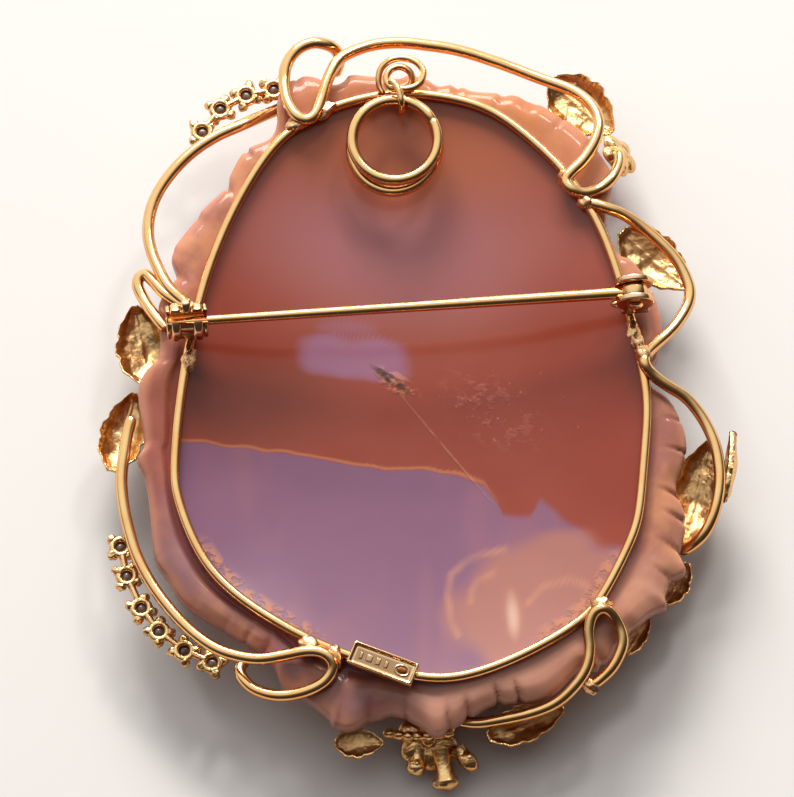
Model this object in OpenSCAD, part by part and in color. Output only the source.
// Cameo brooch, lying face down: carved shell plate held in a frame of gilt wire,
// with cast leaves, small claw settings, a pin with a roll-over catch and a bail ring.
// The table is z = 0, the back of the brooch faces up, the top of the cameo is at +Y.

/* [Shell] */
// Width of the carved shell
shell_w = 48; // [44:0.5:54]
// Height of the carved shell
shell_h = 61; // [56:0.5:68]
// Height of the back rim above the highest points of the relief
back_z = 7.8; // [7.4:0.1:8.8]
// Depth of the hollow in the back
hollow = 3; // [2:0.1:3.4]
// Thickness of the ground under the relief at the middle
ground_t = 2.7; // [2.2:0.1:3]
// Thickness of the ruffled edge
edge_t = 1.7; // [1.2:0.1:2.2]
// How far the back falls from the back wire to the edge
edge_drop = 0.8; // [0.4:0.1:1]

/* [Wires] */
// Diameter of the egg-shaped back wire
oval_d = 0.86; // [0.7:0.02:1]
// Diameter of the outer scroll wires
scroll_d = 1.04; // [0.9:0.02:1.2]
// Height of the scroll wires outside the shell, under the back rim
scroll_below = 1.2; // [0.8:0.1:1.6]
// Diameter of a solder lump
solder_d = 1.3; // [1.15:0.05:1.45]

/* [Pin] */
// Height of the pin above the back rim
pin_rise = 3.3; // [3:0.1:4]
// Turn of the pin line against the width of the shell, in degrees
pin_turn = 4; // [0:0.1:6]
// Diameter of the pin at its root
stem_d = 1.04; // [0.8:0.02:1.06]
// Diameter of the pin just before its point
stem_tip_d = 0.78; // [0.6:0.02:0.84]
// Diameter of the flattened eye of the pin
eye_d = 2.3; // [1.9:0.1:2.6]
// Thickness of the flattened eye
eye_t = 1.06; // [1.06:0.02:1.2]
// Diameter of the hinge rivet
rivet_d = 0.76; // [0.6:0.02:0.9]
// Diameter of a rivet head
head_d = 1.3; // [1.1:0.1:1.6]
// Width of a hinge cheek
cheek_w = 3.3; // [2.8:0.1:3.8]
// Thickness of a hinge cheek
cheek_t = 0.55; // [0.4:0.05:0.7]
// Width of the neck under a hinge cheek
neck_w = 1.9; // [1.6:0.1:2.4]

/* [Catch] */
// Outer diameter of the catch rings
ring_d = 3.3; // [3:0.1:3.6]
// Width of one catch ring
ring_t = 0.85; // [0.7:0.05:1]
// Outer diameter of the turning sleeve
sleeve_d = 2.1; // [1.9:0.05:2.3]
// Inner diameter of the turning sleeve
sleeve_bore = 1.24; // [1.1:0.02:1.3]
// Width of the thumb lug
lug_w = 0.85; // [0.6:0.05:1]
// Reach of the thumb lug from the middle of the sleeve
lug_reach = 2.05; // [1.9:0.05:2.3]
// Width of the mouth
mouth_w = 1.16; // [1.1:0.02:1.2]
// Lean of the mouth from straight up, in degrees
mouth_lean = 2; // [0:0.5:3]

/* [Bail] */
// Diameter across the middle of the bail ring's wire
bail_d = 7.4; // [7:0.1:8]
// Diameter of the bail ring's wire
bail_wire = 0.98; // [0.94:0.02:1.04]
// Height of the bail ring above the back rim
bail_rise = 2.2; // [2.1:0.1:2.8]
// Diameter of the eye's wire
eye_wire = 0.6; // [0.4:0.02:0.62]

/* [Ornaments] */
// Thickness of the cast leaves
leaf_t = 0.55; // [0.4:0.05:0.7]
// Middle radius of a claw setting's ring
collet_r = 0.72; // [0.6:0.02:0.9]
// Diameter of the wire of a claw setting
collet_wire = 0.42; // [0.3:0.02:0.5]
// Diameter of a seed pearl
pearl_d = 1.3; // [1:0.05:1.4]
// Width of the stamp plate
plate_w = 5.9; // [5:0.1:7]
// Depth of the stamp plate
plate_h = 2.1; // [1.8:0.1:2.6]
// Thickness of the stamp plate
plate_t = 1; // [0.8:0.1:1.3]

/* [Fits] */
// Gap between pieces that lie on each other
seat_gap = 0.06; // [0.05:0.01:0.1]
// Running gap round the rivet and the sleeve
run_gap = 0.05; // [0.04:0.01:0.08]

/* [Hidden] */

gold = "goldenrod";
half_w = shell_w / 2;
half_h = shell_h / 2;
oval_r = oval_d / 2;
scroll_r = scroll_d / 2;
on_back = back_z + seat_gap + oval_r;
over_oval = on_back + oval_r + scroll_r - 0.1;
out_z = back_z - scroll_below;
seat_z = on_back + oval_r + seat_gap;
pin_z = back_z + pin_rise;
bail_z = back_z + bail_rise;

// Shares of half the width and half the height of the shell, going round from the top.
// The edge's columns: x, y.
EDGE = [
    [-0.14, 0.99], [-0.05, 1.00], [0.04, 0.98], [0.08, 0.96], [0.15, 0.967], [0.20, 0.945],
    [0.29, 0.94], [0.36, 0.937], [0.43, 0.915], [0.50, 0.88], [0.57, 0.845], [0.63, 0.80],
    [0.67, 0.75], [0.71, 0.68], [0.69, 0.57], [0.69, 0.525], [0.73, 0.45], [0.78, 0.43],
    [0.84, 0.36], [0.88, 0.26], [0.875, 0.17], [0.845, 0.06], [0.90, 0.02], [0.94, -0.03],
    [0.97, -0.11], [0.955, -0.18], [0.93, -0.245], [0.96, -0.32], [0.965, -0.37], [0.945, -0.445],
    [0.965, -0.50], [0.91, -0.53], [0.89, -0.575], [0.895, -0.61], [0.83, -0.63], [0.74, -0.71],
    [0.66, -0.785], [0.585, -0.785], [0.51, -0.845], [0.43, -0.88], [0.28, -0.89], [0.20, -0.925],
    [0.13, -0.96], [0.07, -0.985], [0.01, -0.95], [-0.08, -0.92], [-0.15, -0.94], [-0.24, -0.97],
    [-0.30, -0.965], [-0.31, -0.935], [-0.40, -0.88], [-0.475, -0.84], [-0.51, -0.775], [-0.56, -0.735],
    [-0.74, -0.645], [-0.835, -0.59], [-0.89, -0.52], [-0.93, -0.47], [-0.945, -0.40], [-0.965, -0.245],
    [-1.00, -0.165], [-0.975, -0.12], [-0.995, 0.00], [-0.995, 0.06], [-0.97, 0.10], [-0.92, 0.155],
    [-0.925, 0.30], [-0.865, 0.38], [-0.88, 0.455], [-0.81, 0.54], [-0.765, 0.59], [-0.68, 0.655],
    [-0.67, 0.69], [-0.615, 0.765], [-0.525, 0.80], [-0.50, 0.855], [-0.50, 0.92], [-0.445, 0.985],
    [-0.37, 0.99], [-0.30, 0.965], [-0.26, 0.975], [-0.235, 0.995]];
// The back wire's columns: x, y.
OVAL = [
    [-0.143, 0.931], [0.036, 0.934], [0.219, 0.904], [0.33, 0.853], [0.427, 0.787], [0.541, 0.694],
    [0.645, 0.562], [0.713, 0.424], [0.774, 0.247], [0.824, 0.055], [0.828, -0.05], [0.814, -0.187],
    [0.799, -0.325], [0.767, -0.412], [0.677, -0.559], [0.602, -0.64], [0.437, -0.727], [0.219, -0.805],
    [0.018, -0.823], [-0.251, -0.748], [-0.38, -0.706], [-0.595, -0.604], [-0.76, -0.478], [-0.853, -0.286],
    [-0.864, -0.187], [-0.846, 0.008], [-0.81, 0.185], [-0.76, 0.368], [-0.67, 0.562], [-0.545, 0.745],
    [-0.437, 0.832], [-0.319, 0.889]];
// The scroll wires' columns: x, y, lift. Lift 0 runs outside the shell, 1 lies on its back and
// 1.4 lies over the back wire.
SCROLL_TOP = [
    [-0.297, 0.99, -1.1], [-0.28, 1.025, -0.7], [-0.276, 1.045, -0.2], [-0.29, 1.07, 0.2],
    [-0.323, 1.085, 0.6], [-0.373, 1.09, 0.8], [-0.427, 1.07, 0.8], [-0.466, 1.025, 0.8],
    [-0.475, 0.97, 0.9], [-0.462, 0.91, 1.2], [-0.43, 0.868, 1.4], [-0.394, 0.855, 1.4],
    [-0.362, 0.872, 1.4], [-0.34, 0.918, 1.3], [-0.32, 0.972, 1.2], [-0.29, 1.025, 1.05],
    [-0.25, 1.055, 0.85], [-0.16, 1.083, 0.5], [-0.057, 1.091, 0.4], [0.043, 1.083, 0.3],
    [0.158, 1.067, 0.2], [0.305, 1.028, 0.1], [0.444, 0.983, 0.2], [0.566, 0.945, 0.4],
    [0.634, 0.9, 0.75], [0.66, 0.848, 1.05], [0.645, 0.79, 1.2], [0.602, 0.733, 1.3],
    [0.559, 0.698, 1.4], [0.538, 0.672, 1.4], [0.559, 0.645, 1.4], [0.602, 0.633, 1.2],
    [0.66, 0.647, 0.95], [0.71, 0.683, 0.75], [0.735, 0.73, 0.3], [0.728, 0.775, -0.1]];
SCROLL_UPPER_LEFT = [
    [-0.455, 0.905, -1.15], [-0.497, 0.89, -1.1], [-0.552, 0.87, -0.7], [-0.631, 0.84, -0.2],
    [-0.72, 0.807, 0], [-0.81, 0.756, 0], [-0.889, 0.687, 0], [-0.943, 0.612, 0],
    [-0.964, 0.533, 0.1], [-0.953, 0.463, 0.3], [-0.918, 0.392, 0.65], [-0.886, 0.347, 0.9],
    [-0.842, 0.312, 1], [-0.792, 0.275, 1]];
CURL_LEFT = [
    [-0.80, 0.27, 1], [-0.852, 0.302, 0.9], [-0.905, 0.332, 0.7], [-0.945, 0.368, 0.3],
    [-0.972, 0.388, 0], [-0.995, 0.378, -0.1], [-1.0, 0.352, -0.1], [-0.978, 0.313, 0],
    [-0.946, 0.272, 0.45], [-0.9, 0.225, 0.8]];
SCROLL_RIGHT = [
    [0.599, 0.612, 1.1], [0.649, 0.6, 1.15], [0.699, 0.585, 1.05], [0.749, 0.568, 0.8],
    [0.81, 0.534, 0.5], [0.875, 0.487, 0.3], [0.935, 0.434, 0.1], [0.971, 0.38, 0],
    [0.986, 0.333, 0], [0.971, 0.285, 0.1], [0.925, 0.228, 0.4], [0.864, 0.18, 0.8],
    [0.824, 0.145, 1.2], [0.82, 0.118, 1.3], [0.846, 0.088, 1.1], [0.903, 0.052, 0.8],
    [0.97, 0.016, 0.4], [1.028, -0.045, 0.1], [1.068, -0.115, 0], [1.086, -0.187, 0],
    [1.086, -0.253, 0], [1.068, -0.326, -0.1], [1.032, -0.39, -0.4], [0.982, -0.43, -0.9],
    [0.935, -0.447, -1.15]];
SCROLL_LOWER_RIGHT = [
    [0.13, -0.945, -1.3], [0.212, -0.955, -1.15], [0.301, -0.945, -0.9], [0.409, -0.925, -0.5],
    [0.502, -0.893, -0.1], [0.57, -0.84, 0.4], [0.609, -0.787, 0.7], [0.62, -0.735, 0.9],
    [0.616, -0.68, 1.1], [0.63, -0.632, 1.3], [0.66, -0.612, 1.4], [0.694, -0.624, 1.2],
    [0.722, -0.66, 0.9], [0.738, -0.708, 0.7], [0.724, -0.752, 0.5], [0.695, -0.793, 0.3],
    [0.656, -0.824, 0.1], [0.613, -0.848, 0.1]];
SCROLL_LOWER_LEFT = [
    [-1.02, -0.045, -0.1], [-1.035, -0.095, -0.1], [-1.046, -0.155, 0], [-1.055, -0.225, 0],
    [-1.048, -0.3, 0], [-1.03, -0.372, 0], [-0.996, -0.462, 0], [-0.93, -0.56, 0.05],
    [-0.832, -0.658, 0.2], [-0.724, -0.728, 0.5], [-0.63, -0.755, 0.75], [-0.55, -0.762, 0.95],
    [-0.462, -0.75, 1.1], [-0.38, -0.738, 1.3], [-0.323, -0.748, 1.35], [-0.294, -0.783, 1.2],
    [-0.326, -0.83, 0.95], [-0.405, -0.862, 0.7], [-0.495, -0.872, 0.4], [-0.573, -0.855, 0],
    [-0.62, -0.82, -0.2], [-0.628, -0.79, -0.4], [-0.605, -0.768, -0.6]];
// Solder lumps' columns: x, y, to x, to y, lift.
SOLDER = [
    [-0.445, 0.84, -0.40, 0.86, 1.2], [-0.345, 0.87, -0.31, 0.895, 1.2],
    [0.53, 0.69, 0.55, 0.655, 1.2], [0.6, 0.61, 0.625, 0.6, 1.1], [0.805, 0.165, 0.825, 0.13, 1.2],
    [0.775, 0.235, 0.785, 0.2, 1.1], [0.785, 0.2, 0.8, 0.17, 1.1], [0.64, -0.6, 0.68, -0.6, 1.2],
    [-0.40, -0.71, -0.36, -0.73, 1.1], [-0.30, -0.73, -0.28, -0.77, 1.1], [0.60, -0.83, 0.63, -0.85, 0.1],
    [-0.80, 0.27, -0.83, 0.29, 1.1], [-0.81, 0.15, -0.815, 0.11, 1.1]];
// The relief's columns: x, y, half length, half width, turn, height. Lengths are shares of
// half the width, and height is a share of the depth down to the table.
RELIEF = [
    [0.02, 0.30, 0.30, 0.24, 78, 0.92], [0.17, 0.20, 0.10, 0.09, 60, 0.9],
    [0.24, 0.27, 0.085, 0.05, -35, 0.85], [0.17, 0.10, 0.10, 0.06, 10, 0.8],
    [0.15, 0.02, 0.09, 0.07, -20, 0.85], [-0.16, 0.42, 0.40, 0.17, 28, 1.0],
    [-0.30, 0.24, 0.26, 0.17, 80, 1.05], [-0.37, 0.02, 0.20, 0.12, 70, 1.0],
    [0.06, 0.58, 0.30, 0.12, -28, 1.0], [-0.06, -0.12, 0.30, 0.14, 75, 0.8],
    [-0.20, -0.42, 0.48, 0.17, 20, 0.95], [0.22, -0.46, 0.42, 0.15, -32, 0.9],
    [-0.02, -0.60, 0.50, 0.15, 2, 1.0], [-0.42, -0.50, 0.20, 0.18, 0, 1.05],
    [-0.25, -0.66, 0.17, 0.15, 0, 1.05], [0.32, -0.62, 0.22, 0.16, 40, 1.05],
    [0.50, -0.30, 0.22, 0.12, 65, 0.9], [0.55, 0.05, 0.20, 0.11, 95, 0.85],
    [0.42, 0.52, 0.22, 0.12, 130, 0.95], [-0.55, -0.20, 0.22, 0.12, 110, 0.9],
    [0.50, -0.55, 0.17, 0.14, 0, 1.05], [-0.02, 0.76, 0.24, 0.10, 5, 0.95]];

sectors = 84;
inner_front = [0, 0.1, 0.2, 0.29, 0.38, 0.47, 0.56, 0.65, 0.74, 0.83, 0.92, 1];
outer_front = [0.45, 0.9];
outer_back = [0.85, 0.4];
inner_back = [1, 0.8, 0.6, 0.4, 0.2, 0];
ruffles = 34;
ruffle_h = 0.5;

// Smooth curves through chosen points
function spline(a, b, c, d, t) = 0.5 * (2 * b + (c - a) * t + (2 * a - 5 * b + 4 * c - d) * t * t
    + (3 * b - a - 3 * c + d) * t * t * t);
function open_curve(p, n) = let (last = len(p) - 1) concat(
    [for (i = [0:last - 1], k = [0:n - 1])
        spline(p[max(i - 1, 0)], p[i], p[i + 1], p[min(i + 2, last)], k / n)], [p[last]]);
function closed_curve(p, n) = let (c = len(p))
    [for (i = [0:c - 1], k = [0:n - 1])
        spline(p[(i + c - 1) % c], p[i], p[(i + 1) % c], p[(i + 2) % c], k / n)];
function unit(v) = v / norm(v);
lift_over = 1.4;
function lift_z(lift) = lift <= 1 ? out_z + lift * (on_back - out_z)
    : on_back + (lift - 1) / (lift_over - 1) * (over_oval - on_back);
// The tables are read in a view that leans back, where a lower point looks further down
view_lean = 20;
function seen(x, y, z) = [x * half_w, y * half_h + (back_z - z) * tan(view_lean), z];
function placed(row) = seen(row[0], row[1], lift_z(row[2]));

// A round wire swept along a path. Its corners are set out square to a heading that no part
// of the path runs along.
function ring_at(path, i, r, sides, closed, heading) = let (
    c = len(path),
    before = closed ? path[(i + c - 1) % c] : path[max(i - 1, 0)],
    after = closed ? path[(i + 1) % c] : path[min(i + 1, c - 1)],
    along = unit(after - before),
    side = unit(cross(along, heading)),
    up = cross(side, along))
    [for (k = [0:sides - 1]) let (a = 360 * k / sides) path[i] + r * (cos(a) * side + sin(a) * up)];

module tube(path, r, sides = 6, closed = false, heading = [0, 0, 1]) {
    c = len(path);
    points = [for (i = [0:c - 1]) each ring_at(path, i, r, sides, closed, heading)];
    spans = closed ? c : c - 1;
    skin = [for (i = [0:spans - 1], k = [0:sides - 1]) let (n = (i + 1) % c, m = (k + 1) % sides)
        [i * sides + k, i * sides + m, n * sides + m, n * sides + k]];
    caps = closed ? [] : [[for (k = [sides - 1:-1:0]) k], [for (k = [0:sides - 1]) (c - 1) * sides + k]];
    polyhedron(points, concat(skin, caps), convexity = 6);
}

// A closed skin of rings, each with the same number of points, ending in two middle points
module ringed(rings, first, last) {
    c = len(rings);
    s = len(rings[0]);
    points = concat([first], [for (ring = rings) each ring], [last]);
    top = [for (k = [0:s - 1]) [0, 1 + (k + 1) % s, 1 + k]];
    walls = [for (i = [0:c - 2], k = [0:s - 1])
        [1 + i * s + k, 1 + i * s + (k + 1) % s, 1 + (i + 1) * s + (k + 1) % s, 1 + (i + 1) * s + k]];
    bottom = [for (k = [0:s - 1]) [1 + c * s, 1 + (c - 1) * s + k, 1 + (c - 1) * s + (k + 1) % s]];
    polyhedron(points, concat(top, walls, bottom), convexity = 10);
}

// The shell's outlines as reaches from its middle
edge_path = [for (p = closed_curve(EDGE, 3)) seen(p[0], p[1], back_z - edge_drop)];
oval_path = [for (p = closed_curve(OVAL, 2)) seen(p[0], p[1], on_back)];
function reach(path, a) = let (c = len(path), d = [cos(a), sin(a)])
    max([for (i = [0:c - 1]) let (
        p = [path[i][0], path[i][1]],
        q = [path[(i + 1) % c][0], path[(i + 1) % c][1]],
        e = q - p,
        den = cross(d, e),
        s = abs(den) < 1e-9 ? -1 : cross(p, d) / den,
        t = abs(den) < 1e-9 ? 0 : cross(p, e) / den)
        s >= 0 && s <= 1 && t > 0 ? t : 0]);

oval_t = ground_t - 0.2;
function back_at(k) = back_z - hollow * (1 - k * k);
function front_ground(k) = back_at(k) - (ground_t + (oval_t - ground_t) * k);
function lobe(x, y, row) = let (
    dx = x - row[0] * half_w,
    dy = y - row[1] * half_h,
    u = (dx * cos(row[4]) + dy * sin(row[4])) / (row[2] * half_w),
    v = (dy * cos(row[4]) - dx * sin(row[4])) / (row[3] * half_w),
    q = u * u + v * v)
    q < 1 ? row[5] * pow(1 - q, 0.5) : 0;
function front_at(x, y, k) = let (g = front_ground(k),
    h = max([for (row = RELIEF) lobe(x, y, row)]))
    max(0, g * (1 - h * min(1, 1.15 - 0.2 * k)));
angles = [for (i = [0:sectors - 1]) -360 * i / sectors];
oval_reach = [for (a = angles) reach(oval_path, a)];
edge_reach = [for (a = angles) reach(edge_path, a)];
function spoke(i, r) = [r * cos(angles[i]), r * sin(angles[i])];
function border_r(i, m) = oval_reach[i] + m * (edge_reach[i] - oval_reach[i]);
edge_back_z = back_z - edge_drop;
function ruffle(i) = ruffle_h * (0.5 + 0.5 * cos(ruffles * angles[i]));

module shell_cameo() {
    front_in = [for (k = inner_front) if (k > 0) [for (i = [0:sectors - 1])
        let (p = spoke(i, k * oval_reach[i])) [p[0], p[1], front_at(p[0], p[1], k)]]];
    front_out = [for (m = outer_front) [for (i = [0:sectors - 1])
        let (p = spoke(i, border_r(i, m)), g = front_ground(1) + m * (edge_back_z - edge_t - front_ground(1)))
        [p[0], p[1], g - ruffle(i) * sin(180 * m)]]];
    rim = [for (i = [0:sectors - 1]) let (p = spoke(i, edge_reach[i])) [p[0], p[1], edge_back_z - edge_t / 2]];
    back_out = [for (m = outer_back) [for (i = [0:sectors - 1])
        let (p = spoke(i, border_r(i, m))) [p[0], p[1], back_z - edge_drop * m * m]]];
    back_in = [for (k = inner_back) if (k > 0) [for (i = [0:sectors - 1])
        let (p = spoke(i, k * oval_reach[i])) [p[0], p[1], back_at(k)]]];
    color("indianred") ringed(concat(front_in, front_out, [rim], back_out, back_in),
        [0, 0, front_at(0, 0, 0)], [0, 0, back_at(0)]);
}

module solder_lump(row) {
    hull() {
        translate(placed([row[0], row[1], row[4]])) sphere(d = solder_d, $fn = 6);
        translate(placed([row[2], row[3], row[4]])) sphere(d = solder_d, $fn = 6);
    }
}

module wire_frame() {
    color(gold) union() {
        tube(oval_path, oval_r, closed = true);
        for (route = [SCROLL_TOP, SCROLL_UPPER_LEFT, CURL_LEFT, SCROLL_RIGHT, SCROLL_LOWER_RIGHT,
            SCROLL_LOWER_LEFT])
            tube(open_curve([for (row = route) placed(row)], 2), scroll_r);
        for (row = SOLDER) solder_lump(row);
    }
}

// The plate lies on the back wire where its two ends meet
plate_turn = -21.4;
module stamp_plate() {
    rim = 0.35;
    sunk = 0.35;
    color(gold) translate(seen(-0.118, -0.783, seat_z)) rotate([0, 0, plate_turn]) difference() {
        translate([-plate_w / 2, -plate_h / 2, 0]) cube([plate_w, plate_h, plate_t]);
        translate([-plate_w / 2 + rim, -plate_h / 2 + rim, plate_t - sunk])
            cube([plate_w - 2 * rim, plate_h - 2 * rim, plate_t]);
    }
}

// The pin's line: u runs along the stem from the brooch's middle, v across it
pin_mid_y = 0.2516 * half_h;
hinge_u = 0.785 * half_w;
catch_u = -0.8225 * half_w;
module on_pin_line() {
    translate([0, pin_mid_y, 0]) rotate([0, 0, pin_turn]) children();
}

gap_v = eye_t / 2 + run_gap;
module cheek() {
    difference() {
        union() {
            translate([hinge_u, 0, pin_z]) rotate([-90, 0, 0]) cylinder(d = cheek_w, h = cheek_t, $fn = 48);
            translate([hinge_u - neck_w / 2, 0, seat_z]) cube([neck_w, cheek_t, pin_z - seat_z]);
        }
        translate([hinge_u, -1, pin_z]) rotate([-90, 0, 0])
            cylinder(d = rivet_d + 2 * run_gap, h = cheek_t + 2, $fn = 48);
    }
}

base_t = 0.7;
base_w = neck_w + 0.5;
module hinge_plates() {
    color(gold) on_pin_line() union() {
        translate([0, gap_v, 0]) cheek();
        translate([0, -gap_v - cheek_t, 0]) cheek();
        translate([hinge_u - base_w / 2, -gap_v - cheek_t, seat_z])
            cube([base_w, 2 * (gap_v + cheek_t), base_t]);
    }
}

module hinge_rivet() {
    head_t = 0.35;
    reach_v = gap_v + cheek_t + run_gap;
    color(gold) on_pin_line() translate([hinge_u, 0, pin_z]) union() {
        translate([0, -reach_v - head_t, 0]) rotate([-90, 0, 0])
            cylinder(d = rivet_d, h = 2 * (reach_v + head_t), $fn = 48);
        translate([0, reach_v, 0]) rotate([-90, 0, 0]) cylinder(d = head_d, h = head_t, $fn = 48);
        translate([0, -reach_v - head_t, 0]) rotate([-90, 0, 0]) cylinder(d = head_d, h = head_t, $fn = 48);
    }
}

catch_len = 2 * ring_t + lug_w + 4 * run_gap;
tip_u = catch_u - catch_len / 2;
point_l = 2.4;
point_d = 0.1;
root_u = hinge_u - eye_d / 4;
module pin_stem() {
    color(gold) on_pin_line() difference() {
        union() {
            translate([hinge_u, -eye_t / 2, pin_z]) rotate([-90, 0, 0])
                cylinder(d = eye_d, h = eye_t, $fn = 48);
            translate([tip_u + point_l, 0, pin_z]) rotate([0, 90, 0])
                cylinder(d1 = stem_tip_d, d2 = stem_d, h = root_u - tip_u - point_l, $fn = 32);
            translate([tip_u, 0, pin_z]) rotate([0, 90, 0])
                cylinder(d1 = point_d, d2 = stem_tip_d, h = point_l, $fn = 32);
        }
        translate([hinge_u, -eye_t, pin_z]) rotate([-90, 0, 0])
            cylinder(d = rivet_d + 2 * run_gap, h = 2 * eye_t, $fn = 48);
    }
}

// A slot along the pin line that opens a mouth, leaning towards -v
module mouth(from_u, length, far) {
    translate([from_u, 0, pin_z]) rotate([mouth_lean, 0, 0])
        translate([0, -mouth_w / 2, 0]) cube([length, mouth_w, far]);
}

module catch_ring(u) {
    difference() {
        translate([u, 0, pin_z]) rotate([0, 90, 0]) cylinder(d = ring_d, h = ring_t, $fn = 48);
        translate([u - 1, 0, pin_z]) rotate([0, 90, 0])
            cylinder(d = sleeve_d + 2 * run_gap, h = ring_t + 2, $fn = 48);
        mouth(u - 1, ring_t + 2, ring_d);
    }
}

foot_w = 1.5;
module catch_rings() {
    first = catch_u - catch_len / 2;
    foot_top = pin_z - ring_d / 2 + 0.3;
    color(gold) on_pin_line() union() {
        catch_ring(first);
        catch_ring(first + catch_len - ring_t);
        translate([first, -foot_w / 2, seat_z]) cube([catch_len, foot_w, foot_top - seat_z]);
    }
}

flange_t = 0.35;
flange_d = 2.9;
lug_angle = 45;
lug_r = 0.6;
module catch_sleeve() {
    first = catch_u - catch_len / 2 - run_gap - flange_t;
    whole = catch_len + 2 * (run_gap + flange_t);
    color(gold) on_pin_line() difference() {
        union() {
            translate([first, 0, pin_z]) rotate([0, 90, 0]) cylinder(d = sleeve_d, h = whole, $fn = 48);
            translate([first, 0, pin_z]) rotate([0, 90, 0]) cylinder(d = flange_d, h = flange_t, $fn = 48);
            translate([first + whole - flange_t, 0, pin_z]) rotate([0, 90, 0])
                cylinder(d = flange_d, h = flange_t, $fn = 48);
            translate([catch_u - lug_w / 2, 0, pin_z]) rotate([-lug_angle, 0, 0])
                translate([0, -lug_r, 0]) cube([lug_w, 2 * lug_r, lug_reach - lug_r]);
            translate([catch_u - lug_w / 2, 0, pin_z]) rotate([-lug_angle, 0, 0])
                translate([0, 0, lug_reach - lug_r]) rotate([0, 90, 0]) cylinder(r = lug_r, h = lug_w, $fn = 32);
        }
        translate([first - 1, 0, pin_z]) rotate([0, 90, 0]) cylinder(d = sleeve_bore, h = whole + 2, $fn = 48);
        mouth(first - 1, whole + 2, flange_d);
    }
}

// The bail ring turns on a line through its own top wire. It makes one and two thirds turns,
// and the first part lies under the rest.
bail_r = bail_d / 2;
bail_x = -0.075 * half_w;
bail_hinge_y = 0.889 * half_h;
turn_from = 155;
turn_to = 752;
slope_from = 360;
slope_to = 400;
under = bail_wire + seat_gap;
slack = 0.45;
function bail_point(a) = let (
    slope = min(max((a - slope_from) / (slope_to - slope_from), 0), 1),
    low = 0.5 + 0.5 * cos(180 * slope),
    loose = a < slope_from ? slack * pow(sin((a - turn_from) * 180 / (slope_from - turn_from)), 2) : 0,
    r = bail_r + loose)
    [bail_x + r * cos(a), bail_hinge_y - bail_r + r * sin(a) - loose / 2, bail_z - under * low];
module bail_ring() {
    steps = 46;
    color(gold) tube([for (i = [0:steps]) bail_point(turn_from + (turn_to - turn_from) * i / steps)],
        bail_wire / 2);
}

// The eye's wire: its end crosses the ring's top wire and loops under it, then the wire winds
// a small turn and a wide one, and stands on the back wire.
// Columns: x, y and z from the middle of the ring's top wire, in bail wire radii.
EYE = [
    [-1.07, 2.81, 1.94], [-0.36, 2.48, 2.35], [0.34, 1.38, 2.55], [0.86, 0.07, 2.55],
    [1.13, -1.22, 2.24], [1.22, -2.04, 0.92], [1.13, -2.1, -0.61], [1.04, -1, -1.94],
    [1.3, 0.66, -2.04], [1.83, 2.03, -1.8], [2.67, 3.33, -1.53], [3.02, 4.54, -1.02],
    [2.44, 5.7, -0.61], [1.04, 6.34, -0.31], [-0.49, 5.95, -0.1], [-1.42, 4.73, 0],
    [-1.42, 3.3, 0.1], [-0.63, 2.23, 0.2], [0.69, 1.97, 0.31], [2.27, 2.01, 0.31],
    [3.76, 2.57, 0.31], [4.81, 3.78, 0.31], [4.9, 5.63, 0.1], [3.67, 7.2, -0.1],
    [1.57, 8.02, -0.31], [-0.63, 7.76, -0.51], [-2.3, 6.47, -0.82], [-2.89, 4.71, -1.22],
    [-2.72, 3.09, -1.63], [-2.03, 1.84, -1.8]];
module bail_eye() {
    start = [bail_x, bail_hinge_y, bail_z];
    color(gold) tube(open_curve([for (row = EYE) start + bail_wire / 2 * row], 2), eye_wire / 2,
        heading = [1, 0, -1]);
}

// A cast leaf with a hollow back: along s, across t
leaf_end = 0.24;
leaf_waves = 4;
leaf_wave = 0.06;
function leaf_half(s, w) = max(w * pow(sin(180 * pow(s, 0.85)), 0.75), leaf_end) / 2;
function leaf_point(s, t, l, w, cup, curl) =
    [l * (s - 0.5), t * leaf_half(s, w) * (1 + leaf_wave * cos(360 * leaf_waves * s)),
        -cup * (1 - t * t) * sin(180 * s) + curl * s * s];
module leaf(l, w, cup, curl) {
    ns = 8;
    nt = 4;
    grid = [for (i = [0:ns], j = [0:nt]) leaf_point(0.02 + 0.96 * i / ns, 2 * j / nt - 1, l, w, cup, curl)];
    n = len(grid);
    row = nt + 1;
    points = concat(grid, [for (p = grid) p - [0, 0, leaf_t]]);
    top = [for (i = [0:ns - 1], j = [0:nt - 1]) let (a = i * row + j) each
        [[a, a + row + 1, a + row], [a, a + 1, a + row + 1]]];
    low = [for (i = [0:ns - 1], j = [0:nt - 1]) let (a = n + i * row + j) each
        [[a, a + row, a + row + 1], [a, a + row + 1, a + 1]]];
    rims = [for (i = [0:ns - 1]) each [
        let (a = i * row) [a, a + row, a + n + row, a + n],
        let (a = i * row + nt) [a, a + n, a + n + row, a + row]]];
    ends = [for (j = [0:nt - 1]) each [
        let (a = j) [a, a + n, a + n + 1, a + 1],
        let (a = ns * row + j) [a, a + 1, a + n + 1, a + n]]];
    polyhedron(points, concat(top, low, rims, ends), convexity = 6);
}

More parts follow.
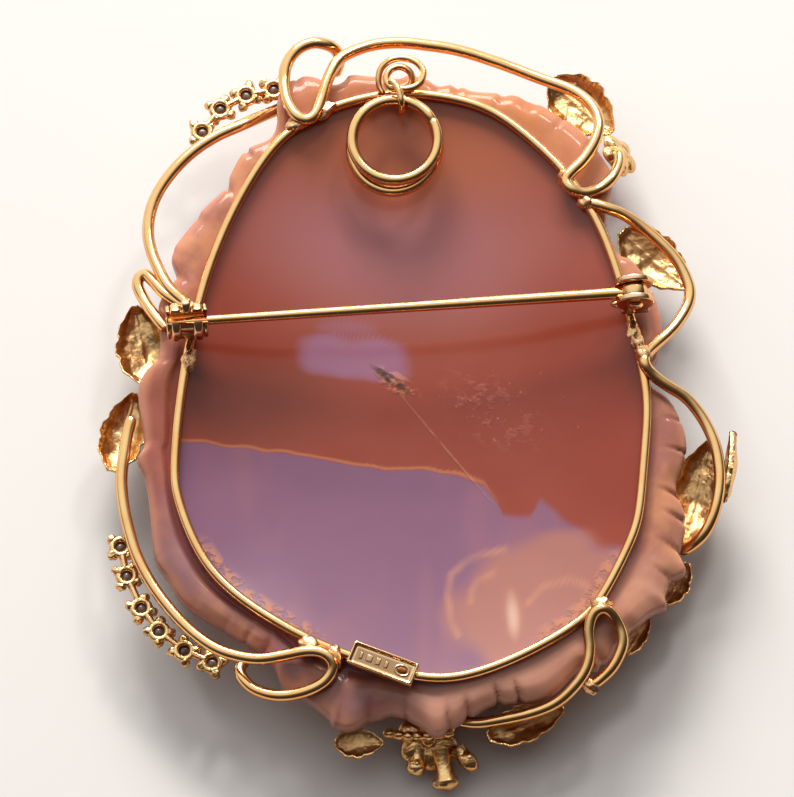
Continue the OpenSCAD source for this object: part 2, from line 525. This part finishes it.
// The leaves' columns: x, y, z, turn, tilt across, length, width, cup, curl
LEAVES = [
    ["left_upper", -0.985, 0.178, 4.7, 100, 0, 7.8, 4.6, 0.9, -0.2],
    ["left_lower", -1.05, -0.082, 4.7, 75, 0, 7.8, 3.9, 0.9, -0.2],
    ["top_right", 0.60, 0.903, 4.7, -42, 0, 7.4, 5, 0.8, -0.2],
    ["right", 0.86, 0.438, 4.7, -42, 0, 8, 4.6, 0.8, -0.2],
    ["right_lower", 1.005, -0.262, 4.7, 75, 0, 10.2, 4.6, 1.0, -0.2],
    ["right_edge", 1.108, -0.188, 5.7, 82, -75, 6.8, 1.8, 0.3, 0],
    ["right_low", 0.93, -0.537, 4.6, 60, 0, 4.6, 2.6, 0.4, 0],
    ["foot_left", -0.204, -1.012, 4.6, 0, 0, 4.4, 2.7, 0.4, 0],
    ["foot", 0.392, -0.952, 4.3, 22, 0, 7.4, 3.4, 0.6, 0],
    ["twig", 0.792, -0.688, 4.6, 62, 0, 4.4, 1.9, 0.3, 0]];
module placed_leaf(i) {
    row = LEAVES[i];
    color(gold) translate(seen(row[1], row[2], row[3])) rotate([0, 0, row[4]])
        rotate([row[5], 0, 0]) leaf(row[6], row[7], row[8], row[9]);
}
module leaf_left_upper() placed_leaf(0);
module leaf_left_lower() placed_leaf(1);
module leaf_top_right() placed_leaf(2);
module leaf_right() placed_leaf(3);
module leaf_right_lower() placed_leaf(4);
module leaf_right_edge() placed_leaf(5);
module leaf_right_low() placed_leaf(6);
module leaf_foot_left() placed_leaf(7);
module leaf_foot() placed_leaf(8);
module leaf_twig() placed_leaf(9);

// A cast flower: a disc with round petals round a raised middle.
// Its profile's columns: share of the radius, share of the thickness.
BLOSSOM = [[0.5, -0.5], [1, 0], [1, 0.35], [0.45, 0.75]];
petal_dip = 0.28;
module blossom(r, petals, t) {
    s = petals * 6;
    function rim_r(i) = r * (1 - petal_dip * (1 - abs(sin(petals * 180 * i / s))));
    ringed([for (k = BLOSSOM) [for (i = [0:s - 1]) let (a = -360 * i / s)
        [k[0] * rim_r(i) * cos(a), k[0] * rim_r(i) * sin(a), k[1] * t]]],
        [0, 0, -0.6 * t], [0, 0, t]);
}
module stub(from, to, r, sides = 5) {
    hull() {
        translate(from) sphere(r = r * 0.7, $fn = 4);
        translate(to) sphere(r = r, $fn = sides);
    }
}
module flower_top() {
    color(gold) translate(seen(0.729, 0.747, 4.1)) rotate([0, 50, 20]) blossom(2.1, 5, 0.9);
}

// The bottom flower leans: its inner side reaches under the shell's edge, its outer side hangs down
flower_r = 3.7;
flower_lean = 24;
beads = 7;
bead_r = 0.38;
bead_from = -0.9 * flower_r;
bead_to = 0.45 * flower_r;
bead_z = 0.95;
// Its ball tips' columns: x, y, z from the flower's middle, in flower radii
TIPS = [[-0.3, -0.74, -0.1], [0.42, -1.07, -0.22], [0.98, -0.58, -0.05]];
tip_r = 0.75;
module flower_bottom() {
    color(gold) translate(seen(0.043, -1.004, 2.6)) union() {
        rotate([flower_lean, 0, 8]) blossom(flower_r, 6, 0.9);
        stub([bead_from, 0, bead_z], [bead_to, 0, bead_z], bead_r);
        for (i = [0:beads - 1]) let (across = bead_from + (bead_to - bead_from) * i / (beads - 1))
            stub([across, 0, bead_z], [across, bead_r, bead_z + bead_r], bead_r);
        for (tip = TIPS) stub([tip[0] * flower_r / 2, -0.2 * flower_r, 0], flower_r * tip, tip_r);
    }
}

// The claw settings' columns: x, y, turn
UPPER_COLLETS = [[-0.771, 0.820, 0], [-0.706, 0.889, 20], [-0.613, 0.931, 30], [-0.513, 0.949, 10]];
LOWER_COLLETS = [[-1.057, -0.430, 0], [-1.034, -0.517, 15], [-0.982, -0.613, 30], [-0.918, -0.682, 40],
    [-0.828, -0.739, 50], [-0.728, -0.775, 60]];
collet_z = 5.4;
claws = 4;
claw_d = 0.5;
claw_out = 0.42;
claw_down = 0.35;
joint_d = 0.4;
function collet_at(row) = seen(row[0], row[1], collet_z);
module collet(row) {
    translate(collet_at(row)) rotate([0, 0, row[2]]) {
        rotate_extrude($fn = 9) translate([collet_r, 0]) circle(d = collet_wire, $fn = 4);
        for (k = [0:claws - 1]) rotate([0, 0, 360 * (k + 0.5) / claws])
            stub([collet_r, 0, 0], [collet_r + claw_out, 0, -claw_down], claw_d / 2, 4);
    }
}
module collet_string(rows) {
    for (row = rows) collet(row);
    for (i = [0:len(rows) - 2]) let (
        a = collet_at(rows[i]),
        b = collet_at(rows[i + 1]),
        d = unit(b - a))
        hull() {
            translate(a + d * collet_r) sphere(d = joint_d, $fn = 4);
            translate(b - d * collet_r) sphere(d = joint_d, $fn = 4);
        }
}
module collet_string_upper() { color(gold) union() { collet_string(UPPER_COLLETS); } }
module collet_string_lower() { color(gold) union() { collet_string(LOWER_COLLETS); } }

// A pearl rests on its setting's ring, on the front side
pearl_drop = sqrt(pow(pearl_d / 2 + collet_wire / 2 + seat_gap, 2) - pow(collet_r, 2));
module pearl(rows, i) {
    color("antiquewhite") translate(collet_at(rows[i]) - [0, 0, pearl_drop]) sphere(d = pearl_d, $fn = 32);
}

shell_cameo();
wire_frame();
stamp_plate();
bail_eye();
bail_ring();
hinge_plates();
hinge_rivet();
pin_stem();
catch_rings();
catch_sleeve();
leaf_left_upper();
leaf_left_lower();
leaf_top_right();
leaf_right();
leaf_right_lower();
leaf_right_edge();
leaf_right_low();
leaf_foot_left();
leaf_foot();
leaf_twig();
flower_top();
flower_bottom();
collet_string_upper();
collet_string_lower();
pearl(UPPER_COLLETS, 0);  // pearl_upper_1
pearl(UPPER_COLLETS, 1);  // pearl_upper_2
pearl(UPPER_COLLETS, 2);  // pearl_upper_3
pearl(UPPER_COLLETS, 3);  // pearl_upper_4
pearl(LOWER_COLLETS, 0);  // pearl_lower_1
pearl(LOWER_COLLETS, 1);  // pearl_lower_2
pearl(LOWER_COLLETS, 2);  // pearl_lower_3
pearl(LOWER_COLLETS, 3);  // pearl_lower_4
pearl(LOWER_COLLETS, 4);  // pearl_lower_5
pearl(LOWER_COLLETS, 5);  // pearl_lower_6
